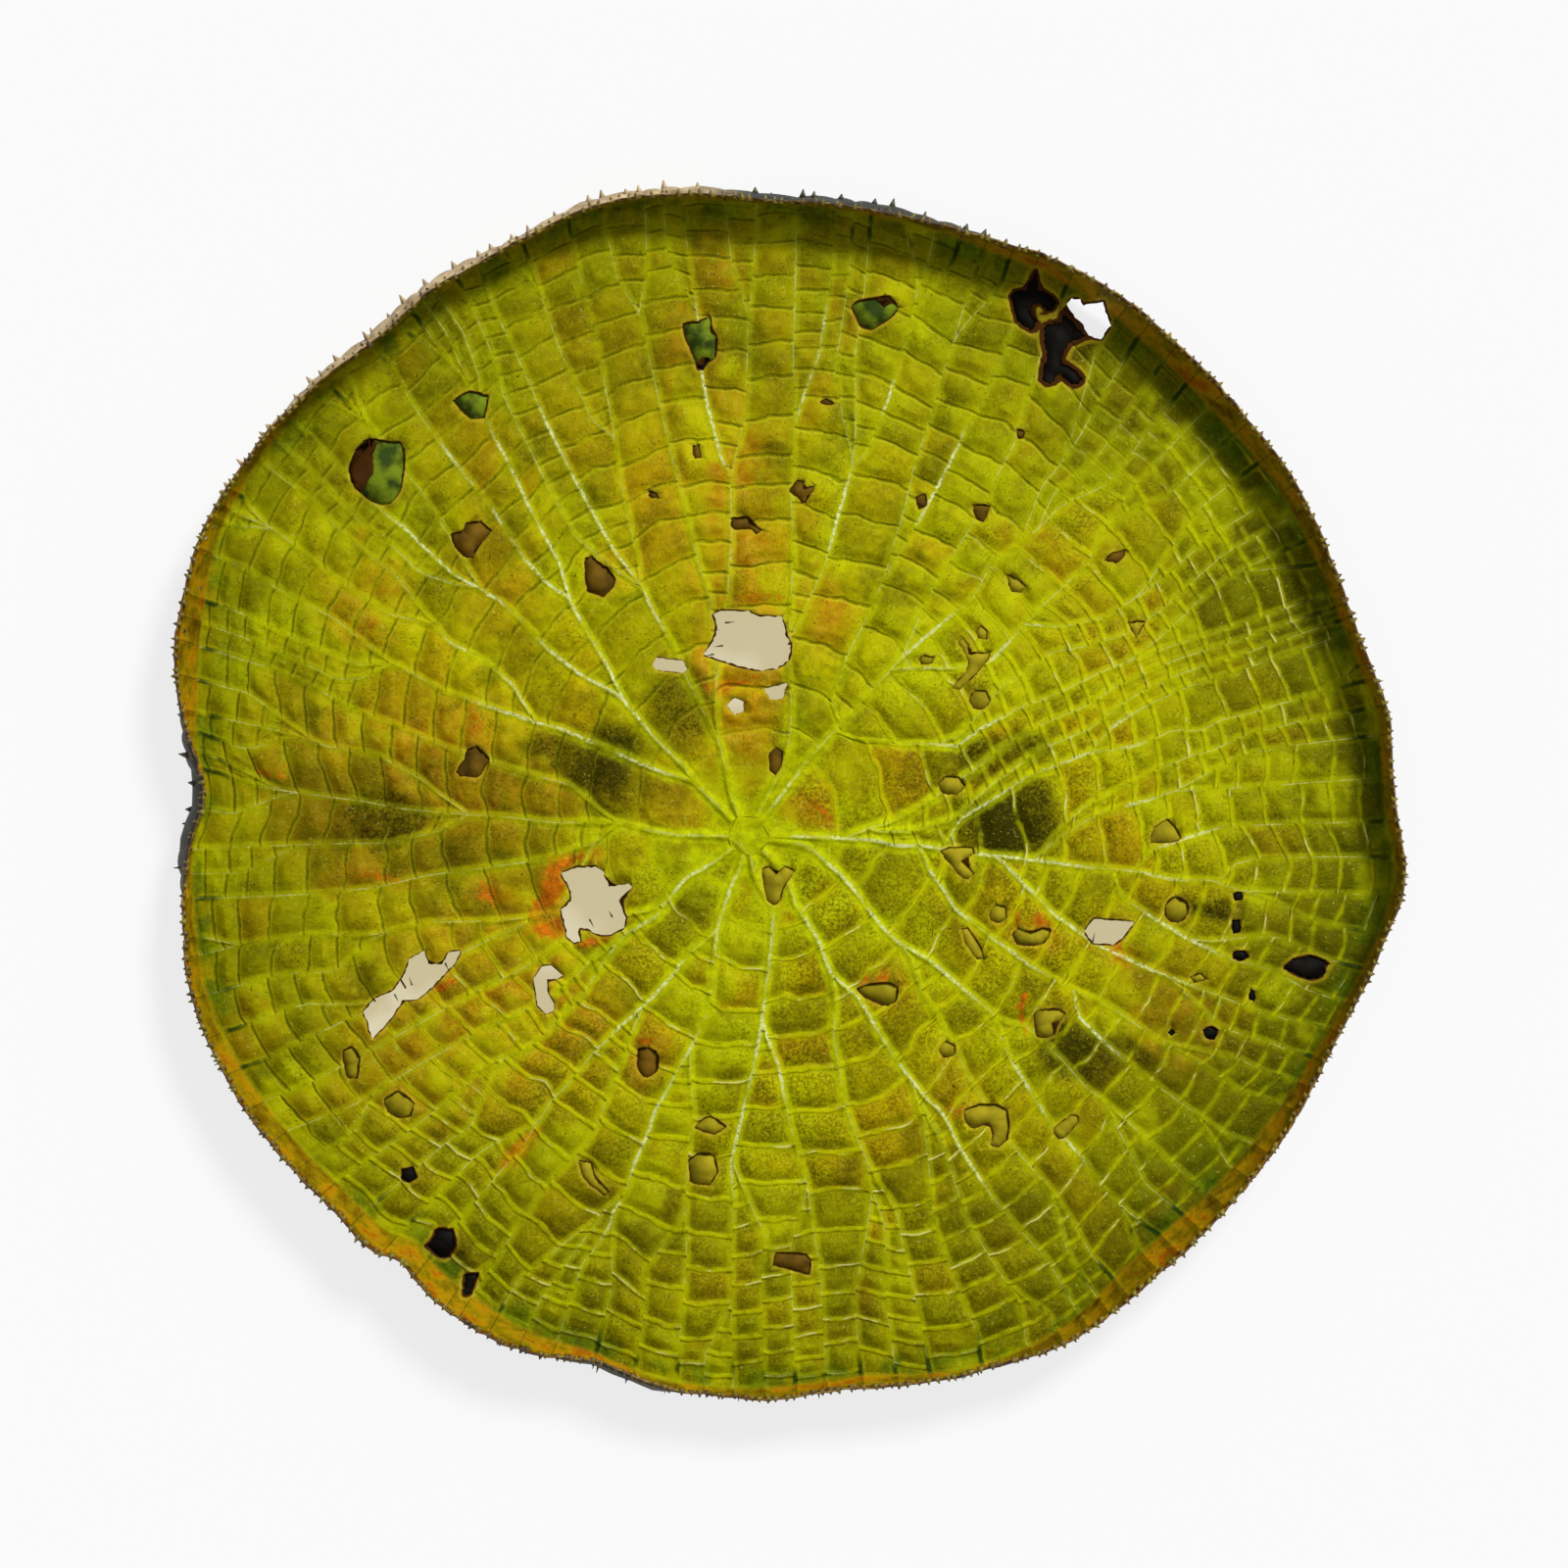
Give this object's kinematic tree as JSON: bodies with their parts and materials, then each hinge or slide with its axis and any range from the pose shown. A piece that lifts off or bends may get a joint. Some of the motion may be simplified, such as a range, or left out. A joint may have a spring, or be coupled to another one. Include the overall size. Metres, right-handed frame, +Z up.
{
  "type": "giant water lily leaf",
  "caption": "Large round floating water lily leaf with a quilted ribbed blade and an upturned toothed rim, cut from its stalk and lying on its ribs.",
  "frame": {"origin": "under the middle of the leaf's bounding box, on the surface that its ribs lie on", "axes": "+Z up through the upper face, +X towards the side with the small corner in the rim, +Y towards the side with the torn rim notch"},
  "size_m": [1.2576, 1.24, 0.0657],
  "materials": {
    "leaf": "waxy olive to lime green leaf with ochre and dark brown patches, matte"
  },
  "bodies": {
    "root": {"lily_pad": "leaf"}
  },
  "joints": []
}
